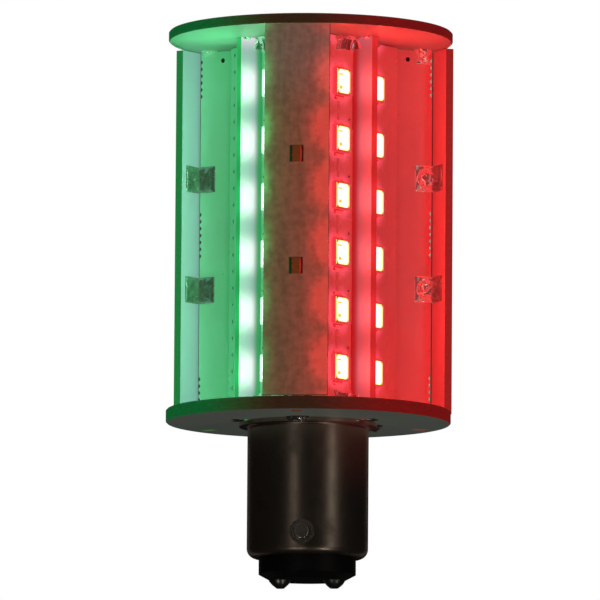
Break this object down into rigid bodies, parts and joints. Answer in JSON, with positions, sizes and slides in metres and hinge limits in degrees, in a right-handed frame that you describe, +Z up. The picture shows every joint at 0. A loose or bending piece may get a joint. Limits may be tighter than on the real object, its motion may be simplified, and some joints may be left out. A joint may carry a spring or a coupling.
{
  "type": "led navigation lamp",
  "caption": "LED tricolour navigation lamp: baffled LED boards between two round boards, on a bayonet cap.",
  "frame": {"origin": "on the cap's axis, at the height of the lower bayonet pin's centre", "axes": "+Z up along the cap's axis, -Y to the bow, +X to port"},
  "size_m": [0.0355, 0.0356, 0.0697],
  "materials": {
    "round_board": "black solder mask over glass laminate",
    "white_board": "white solder mask over glass laminate",
    "black_board": "dark solder mask outside, white inside",
    "led_body": "moulded white package",
    "red_window": "clear encapsulant over a red die",
    "green_window": "clear encapsulant over a green die",
    "white_window": "phosphor-filled encapsulant",
    "plated_cap": "nickel-plated brass, slightly worn",
    "cap_insulator": "black moulded insulator",
    "solder": "bright tin solder",
    "lead_insulation": "insulated hook-up wire",
    "driver_laminate": "green solder mask",
    "chip_plastic": "black moulding compound",
    "ferrite": "sintered ferrite",
    "can_aluminium": "drawn can",
    "ceramic": "ceramic capacitor body"
  },
  "bodies": {
    "root": {"bottom_disc": "round_board", "top_disc": "round_board", "bow_baffle": "white_board", "port_baffle": "white_board", "starboard_baffle": "white_board", "bow_lip": "black_board", "port_lip": "black_board", "starboard_lip": "black_board", "port_led_board": "white_board", "starboard_led_board": "white_board", "stern_led_board": "white_board", "port_fin": "white_board", "starboard_fin": "white_board", "stern_fin": "white_board", "port_led_bodies": "led_body", "starboard_led_bodies": "led_body", "stern_led_bodies": "led_body", "port_led_windows": "red_window", "starboard_led_windows": "green_window", "stern_led_windows": "white_window", "base_shell": "plated_cap", "lower_bayonet_pin": "plated_cap", "upper_bayonet_pin": "plated_cap", "base_insulator": "cap_insulator", "port_contact": "solder", "starboard_contact": "solder", "port_supply_lead": "lead_insulation", "starboard_supply_lead": "lead_insulation", "lead_solder": "solder", "lip_solder": "solder", "baffle_solder": "solder", "board_solder": "solder", "fin_solder": "solder", "fin_tab_solder": "solder", "flange_solder": "solder", "driver_board": "driver_laminate", "driver_chip": "chip_plastic", "bridge_rectifier": "chip_plastic", "driver_choke": "ferrite", "input_capacitor": "can_aluminium", "sense_resistors": "chip_plastic", "filter_capacitors": "ceramic"}
  },
  "joints": []
}
